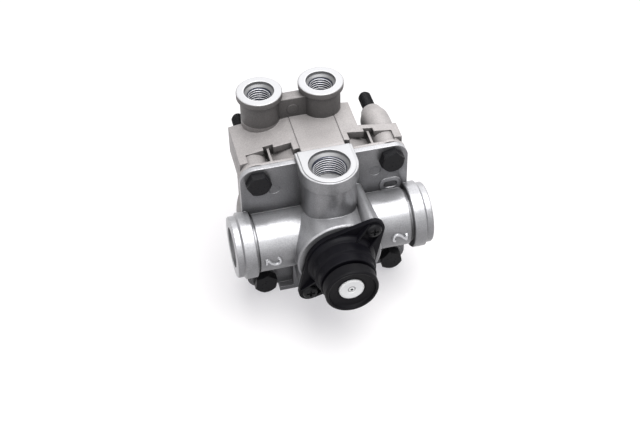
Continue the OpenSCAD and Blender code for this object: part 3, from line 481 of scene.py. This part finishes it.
def thread_rows(root, crest, pitch, length, columns, lead_in=0.0):
    """Rows of points on a thread along +Z from 0 to length. A lead_in fades it towards the root."""
    steps_per_turn = 8
    count = max(2, round(length / pitch * steps_per_turn))
    rows = []
    for k in range(count + 1):
        z = length * k / count
        fade = 1.0
        if lead_in:
            fade = min(1.0, z / lead_in, (length - z) / lead_in)
        row = []
        for i in range(columns):
            turn = i / columns
            phase = (z / pitch - turn) % 1.0
            ridge = min(1.0, max(0.0, 1.35 - abs(phase - 0.5) * 4.0))
            radius = root + (crest - root) * ridge * fade
            angle = 2 * math.pi * turn
            row.append((radius * math.cos(angle), radius * math.sin(angle), z))
        rows.append(row)
    return rows


def moved(rows, matrix):
    return [[matrix @ Vector(point) for point in row] for row in rows]


def along(axis, start):
    """A transform that takes +Z to the axis and the origin to start."""
    return Matrix.Translation(start) @ Vector(axis).to_track_quat("Z", "Y").to_matrix().to_4x4()



class VALVE_OT_castings(bpy.types.Operator):
    """Give both castings their die-cast skin and bright port faces"""

    bl_idname = "relay_valve.castings"
    bl_label = "Castings"

    def execute(self, context):
        colours = context.scene.valve_colours
        sizes = context.scene.valve_castings
        lower = [PORTS[n] for n in ("port_supply", "port_delivery_left", "port_delivery_right")]
        upper = [PORTS[n] for n in ("port_control_left", "port_control_right")]
        low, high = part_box("lower_body")
        cut = 0.25 * MM
        faces = [((0, 0, 1), high[2] - 0.75 * MM), ((1, 0, 0), high[0] - cut), ((-1, 0, 0), -low[0] - cut)]
        bright = cast_finish("bright casting", colours.cast_bright, colours.machined, lower, faces,
                    (-43.55 * MM, -40 * MM), high[2], 0.33, 0.62, 0.35, 1.75)
        bright.put_on(frame["nodes"]["lower_body"])
        new_piece("supply_collar_edge", lambda bm: self.collar_edge(bm, sizes, high[2] - 0.6 * MM), bright,
                  smooth=False)
        roof = high[2] + 0.2 * MM
        faces = [((0, 0, 1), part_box("upper_housing")[1][2] - cut)]
        cast_finish("matt casting", colours.cast_matt, colours.machined, upper, faces,
                    (-40 * MM, -38 * MM), roof, 0.5, 0.2, 0.15, 1.0).put_on(frame["nodes"]["upper_housing"])
        return {"FINISHED"}

    def collar_edge(self, bm, sizes, top):
        """The raised band round the supply port's collar: straight sides from the flange's back, and
        half a circle in front."""
        centre = PORTS["port_supply"]["pos_m"][1] + sizes.collar_back
        inner, outer = sizes.collar_radius - 0.6 * MM, sizes.collar_radius + sizes.collar_edge
        bevel = 0.4 * MM
        bottom = top - sizes.collar_height
        profile = [(inner, bottom), (outer - bevel, bottom), (outer, bottom + bevel), (outer, top - bevel),
                   (outer - bevel, top), (inner, top)]
        turns = [math.pi + math.pi * k / 48 for k in range(49)]
        rows = []
        for radius, z in profile:
            row = [(-radius, PARTING, z)]
            row += [(radius * math.cos(a), centre + radius * math.sin(a), z) for a in turns]
            rows.append(row + [(radius, PARTING, z)])
        made = add_grid(bm, rows + rows[:1], closed=False)
        bmesh.ops.remove_doubles(bm, verts=bm.verts, dist=0.001 * MM)
        bmesh.ops.holes_fill(bm, edges=bm.edges)
        return made


class VALVE_OT_port_threads(bpy.types.Operator):
    """Line the five ports with their threads"""

    bl_idname = "relay_valve.port_threads"
    bl_label = "Port threads"

    def execute(self, context):
        sizes = context.scene.valve_threads
        for name, port in PORTS.items():
            finish = thread_finish(port, context.scene.valve_colours.machined, sizes.port_depth)
            root = port["dims"]["r_mm"] * MM - 0.02 * MM
            wall = port["dims"]["length_mm"] * MM
            length = min(wall, sizes.turns * sizes.port_pitch)
            start = Vector(port["pos_m"]) + Vector(port["axis"]) * (wall / 2 - length)
            rows = thread_rows(root, root - sizes.port_depth, sizes.port_pitch, length,
                               sizes.columns, lead_in=0.6 * MM)
            rows = moved(rows, along(port["axis"], start))
            new_piece(name.replace("port", "thread"), lambda bm: add_grid(bm, rows), finish)
        return {"FINISHED"}


class VALVE_OT_numerals(bpy.types.Operator):
    """Raise a plain port numeral on the front of each delivery neck"""

    bl_idname = "relay_valve.numerals"
    bl_label = "Port numerals"

    def execute(self, context):
        sizes = context.scene.valve_numerals
        # Painted highlight: the numerals are the lower casting's colour made 1.9 times brighter.
        finish = Finish("numeral casting", context.scene.valve_colours.cast_bright * 1.9, 0.26, 0.5)
        grain = finish.noise(0.45 * MM, detail=4.0)
        finish.set_socket(finish.surface, "Base Color", finish.tint(finish.spread(grain, 0.95, 1.05)))
        finish.relief([(grain, 0.04 * MM)], edge_radius=0.3 * MM)
        for side, name in ((-1, "numeral_left"), (1, "numeral_right")):
            new_piece(name, lambda bm: self.numeral(bm, sizes, side), finish,
                      smooth=False)
        return {"FINISHED"}

    def numeral(self, bm, sizes, side):
        """The numeral's stroke, bent round the neck; its foot points to the port's mouth."""
        centre = Vector(PORTS["port_delivery_right"]["pos_m"])
        stroke = self.stroke_points()
        half = sizes.stroke / 2
        rows = []
        for k, (point, normal) in enumerate(stroke):
            row = []
            for shift, lift in ((-1.35, -0.3), (-1.0, 0.85), (-0.6, 1.0), (0.6, 1.0), (1.0, 0.85),
                                (1.35, -0.3)):
                ends = 0.0 if k in (0, len(stroke) - 1) else 1.0
                u = point[0] * sizes.height + normal[0] * half * shift
                v = point[1] * sizes.height + normal[1] * half * shift
                height = sizes.relief * (lift if ends else -0.3)
                # Seen from the front the numeral lies on its side: up is towards the middle
                x = side * (sizes.place - v)
                angle = u / sizes.neck_radius * side
                radius = sizes.neck_radius + height
                row.append((x, centre.y - radius * math.cos(angle), centre.z + radius * math.sin(angle)))
            rows.append(row)
        add_grid(bm, rows, closed=False)

    def stroke_points(self):
        """Middle line of the figure 2 in a box of height 1, with the normal at each point."""
        line = []
        for k in range(15):
            angle = math.radians(165 - 205 * k / 14)
            line.append((0.29 * math.cos(angle), 0.21 + 0.29 * math.sin(angle)))
        line += [(0.12, -0.12), (-0.1, -0.29), (-0.27, -0.44), (-0.27, -0.46), (-0.1, -0.46), (0.12, -0.46),
                 (0.31, -0.46)]
        points = []
        for k, here in enumerate(line):
            before = line[max(0, k - 1)]
            after = line[min(len(line) - 1, k + 1)]
            direction = Vector((after[0] - before[0], after[1] - before[1])).normalized()
            points.append((here, (-direction.y, direction.x)))
        return points


class VALVE_OT_fasteners(bpy.types.Operator):
    """Cut threads on the mounting studs and blacken the bolts, screws and snap ring"""

    bl_idname = "relay_valve.fasteners"
    bl_label = "Bolts and screws"

    def execute(self, context):
        sizes = context.scene.valve_threads
        finish = black_steel_finish(context.scene.valve_colours.black_steel)
        nodes = frame["nodes"]
        finish.put_on(*(nodes[n] for n in ("short_bolts", "cover_screws", "guide_snap_ring")))
        bolts = new_piece("threaded_long_bolts", lambda bm: self.long_bolts(bm, sizes), finish,
                          smooth=False)
        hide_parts("long_bolts")
        return {"FINISHED"}

    def long_bolts(self, bm, sizes):
        """The long bolts' heads and shanks, with a cut thread in place of each plain stud."""
        bm.from_mesh(frame["nodes"]["long_bolts"].data)
        base = STUDS["pos_m"][1]
        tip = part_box("long_bolts")[1][1]
        beyond = [vert for vert in bm.verts if vert.co.y > base + 0.1 * MM]
        bmesh.ops.delete(bm, geom=beyond, context="VERTS")
        crest = STUDS["dims"]["stud_r_mm"] * MM
        root = crest - sizes.stud_depth
        half = STUDS["dims"]["spacing_x_mm"] * MM / 2
        for side in (-1, 1):
            rows = thread_rows(root, crest, sizes.stud_pitch, tip - base - 0.9 * MM, sizes.columns // 2,
                               lead_in=0.7 * MM)
            flat = [(0.88 * root * x / root, 0.88 * root * y / root, tip - base)
                    for x, y, _ in rows[-1]]
            rows += [flat, [(0.02 * x, 0.02 * y, tip - base) for x, y, _ in flat]]
            start = (side * half, base, STUDS["pos_m"][2])
            faces = add_grid(bm, moved(rows, along((0, 1, 0), start)), smooth=True)
        return faces


class VALVE_OT_exhaust(bpy.types.Operator):
    """Finish the exhaust cover, its rubber flap and the white button"""

    bl_idname = "relay_valve.exhaust"
    bl_label = "Exhaust"

    def execute(self, context):
        colours = context.scene.valve_colours
        nodes = frame["nodes"]
        moulded_finish("black plastic", colours.black_plastic, 0.42, 0.3 * MM, 0.02 * MM,
                       Specular_IOR_Level=0.09).put_on(nodes["exhaust_cover"])
        moulded_finish("flap rubber", colours.rubber, 0.5, 0.4 * MM, 0.02 * MM,
                       Specular_IOR_Level=0.12).put_on(nodes["exhaust_flap"])
        self.button_finish(colours.button).put_on(nodes["flap_button"])
        return {"FINISHED"}

    def button_finish(self, colour):
        """White plastic, with painted shade: grey in the ring round its middle and dark in the pin hole
        there.
        """
        finish = moulded_finish("white plastic", colour, 0.4, 0.5 * MM, 0.01 * MM)
        low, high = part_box("flap_button")
        middle = ((low[0] + high[0]) / 2, 0.0, (low[2] + high[2]) / 2)
        offset = finish.vector("MULTIPLY", finish.vector("SUBTRACT", finish.place, middle), (1, 0, 1))
        radial = finish.vector("LENGTH", offset)
        # Painted shade in the button's dimple: a grey ring round its middle, and near-black in the pin hole.
        ring = finish.math("MULTIPLY", finish.math("LESS_THAN", radial, 2.35 * MM),
                           finish.math("GREATER_THAN", radial, 1.7 * MM))
        hole = finish.math("LESS_THAN", radial, 0.8 * MM)
        shade = finish.mix_colour(ring, finish.colour, (0.4, 0.4, 0.4, 1.0))
        finish.set_socket(finish.surface, "Base Color",
                          finish.mix_colour(hole, shade, (0.02, 0.02, 0.022, 1.0)))
        return finish


class VALVE_OT_inner_parts(bpy.types.Operator):
    """Finish the piston, valve, guide, check valve and seals inside"""

    bl_idname = "relay_valve.inner_parts"
    bl_label = "Inner parts"

    def execute(self, context):
        colours = context.scene.valve_colours
        nodes = frame["nodes"]
        rubber = moulded_finish("seal rubber", colours.rubber, 0.45, 0.3 * MM, 0.01 * MM)
        rubber.put_on(*(nodes[n] for n in ("housing_seal", "piston_ring", "valve_rubber", "guide_outer_ring",
                                           "guide_inner_ring", "shuttle_faces")))
        turned_finish("piston alloy", (0.62, 0.63, 0.64), 0.34).put_on(nodes["relay_piston"])
        self.spring(nodes["valve_spring"].data, turned_finish("spring steel", (0.42, 0.42, 0.43), 0.3))
        turned_finish("plug steel", (0.5, 0.5, 0.51), 0.3, axis=0).put_on(nodes["check_plug"])
        turned_finish("seat brass", (0.66, 0.47, 0.18), 0.28, axis=0).put_on(nodes["check_seat"])
        moulded_finish("pale acetal", (0.62, 0.58, 0.48), 0.38, 0.4 * MM, 0.01 * MM).put_on(
            nodes["valve_body"], nodes["check_shuttle"])
        moulded_finish("guide plastic", (0.03, 0.03, 0.033), 0.45, 0.3 * MM, 0.02 * MM).put_on(
            nodes["valve_guide"])
        return {"FINISHED"}

    @staticmethod
    def spring(mesh, finish):
        """The valve's spring, copied to a piece with a mesh of its own. The piece stays as it is; it is not
        made to shorten towards its end in the guide as the valve opens.
        """
        piece = new_piece("coil_spring", lambda bm: bm.from_mesh(mesh), finish)
        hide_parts("valve_spring")
        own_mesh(piece)


class VALVE_OT_stage(bpy.types.Operator):
    """Set up the camera, the white floor and the soft studio light"""

    bl_idname = "relay_valve.stage"
    bl_label = "Stage"

    def execute(self, context):
        settings = context.scene.valve_stage
        self.camera(context, settings)
        self.floor(context, settings)
        self.world(context)
        for name, place, size, power in (
                ("top light", (0.2, -0.25, 1.25), 1.4, 24.0),
                ("rear light", (0.5, 1.0, 0.95), 1.2, 4.0),
                ("front light", (-0.5, -1.25, 0.75), 2.0, 10.0)):
            self.light(context, name, place, size, power)
        view = context.scene.view_settings
        view.view_transform = "Standard"
        return {"FINISHED"}

    def camera(self, context, settings):
        az, el = settings.azimuth, settings.elevation
        back = Vector((math.sin(az) * math.cos(el), -math.cos(az) * math.cos(el), math.sin(el)))
        right = Vector((math.cos(az), math.sin(az), 0.0))
        turn = Matrix((right, back.cross(right), back)).transposed() @ Matrix.Rotation(
            settings.roll, 3, "Z")
        data = bpy.data.cameras.new("camera")
        data.lens = settings.lens
        data.sensor_width = 36.0
        data.clip_start = 0.01
        camera = bpy.data.objects.new("camera", data)
        camera.matrix_world = Matrix.Translation(settings.place) @ turn.to_4x4()
        context.scene.collection.objects.link(camera)
        context.scene.camera = camera

    def floor(self, context, settings):
        finish = Finish("floor", (0.3, 0.3, 0.31), 1.0, Specular_IOR_Level=0.0)
        seen = finish.seen_rays()
        far = finish.spread(finish.vector("LENGTH", finish.place), 0.0, 1.0, 0.5, 1.6)
        near_tone = finish.mix_colour(seen, finish.colour, (0.5, 0.49, 0.48, 1.0))
        finish.set_socket(finish.surface, "Base Color", finish.mix_colour(
            finish.math("MULTIPLY", seen, far), near_tone, (0.0, 0.0, 0.0, 1.0)))
        finish.set_socket(finish.surface, "Emission Color", finish.mix_colour(
            far, (0.97, 0.96, 1.0, 1.0), (1.0, 1.0, 1.0, 1.0)))
        finish.set_socket(finish.surface, "Emission Strength", finish.math(
            "MULTIPLY", seen, finish.mix_value(far, 0.5, 1.0)))
        bm = bmesh.new()
        bmesh.ops.create_grid(bm, x_segments=1, y_segments=1, size=settings.floor_size / 2)
        mesh = bpy.data.meshes.new("floor")
        bm.to_mesh(mesh)
        bm.free()
        floor = bpy.data.objects.new("floor", mesh)
        floor.location.z = CAD_BOX[0][2]
        context.scene.collection.objects.link(floor)
        finish.put_on(floor)

    def world(self, context):
        world = bpy.data.worlds.new("studio")
        context.scene.world = world
        world.use_nodes = True
        nodes, links = world.node_tree.nodes, world.node_tree.links
        light = nodes["Background"]
        light.inputs["Color"].default_value = (0.93, 0.95, 1.0, 1.0)
        light.inputs["Strength"].default_value = 0.2
        white = nodes.new("ShaderNodeBackground")
        white.inputs["Strength"].default_value = 1.0
        white.inputs["Color"].default_value = (1.0, 1.0, 1.0, 1.0)
        path = nodes.new("ShaderNodeLightPath")
        seen = path.outputs["Is Camera Ray"]
        for ray in ("Is Glossy Ray", "Is Transmission Ray"):
            both = nodes.new("ShaderNodeMath")
            both.operation = "MAXIMUM"
            links.new(seen, both.inputs[0])
            links.new(path.outputs[ray], both.inputs[1])
            seen = both.outputs[0]
        mix = nodes.new("ShaderNodeMixShader")
        links.new(seen, mix.inputs[0])
        links.new(light.outputs[0], mix.inputs[1])
        links.new(white.outputs[0], mix.inputs[2])
        links.new(mix.outputs[0], nodes["World Output"].inputs["Surface"])

    def light(self, context, name, place, size, power):
        data = bpy.data.lights.new(name, "AREA")
        data.shape = "DISK"
        data.size = size
        data.energy = power
        lamp = bpy.data.objects.new(name, data)
        lamp.location = place
        aim = Vector((0, -0.05, 0)) - Vector(place)
        lamp.rotation_euler = aim.to_track_quat("-Z", "Y").to_euler()
        context.scene.collection.objects.link(lamp)


OPERATORS = (VALVE_OT_stage, VALVE_OT_castings, VALVE_OT_port_threads, VALVE_OT_numerals,
             VALVE_OT_fasteners, VALVE_OT_exhaust, VALVE_OT_inner_parts)


class VALVE_PT_panel(bpy.types.Panel):
    """Steps and settings of the relay valve"""

    bl_label = "Relay valve"
    bl_idname = "VALVE_PT_panel"
    bl_space_type = "VIEW_3D"
    bl_region_type = "UI"
    bl_category = "Relay valve"

    def draw(self, context):
        for operator in OPERATORS:
            self.layout.operator(operator.bl_idname)
        for name, group in SETTINGS.items():
            box = self.layout.box()
            box.label(text=group.__doc__)
            for prop in group.__annotations__:
                box.prop(getattr(context.scene, name), prop)


def register():
    for group in SETTINGS.values():
        bpy.utils.register_class(group)
    for name, group in SETTINGS.items():
        setattr(bpy.types.Scene, name, PointerProperty(type=group))
    for cls in (*OPERATORS, VALVE_PT_panel):
        bpy.utils.register_class(cls)


def unregister():
    for cls in (VALVE_PT_panel, *reversed(OPERATORS)):
        bpy.utils.unregister_class(cls)
    for name in SETTINGS:
        delattr(bpy.types.Scene, name)
    for group in SETTINGS.values():
        bpy.utils.unregister_class(group)


def main():
    register()
    for step in ("stage", "castings", "port_threads", "numerals", "fasteners", "exhaust", "inner_parts"):
        getattr(bpy.ops.relay_valve, step)()


if __name__ == "__main__":
    main()
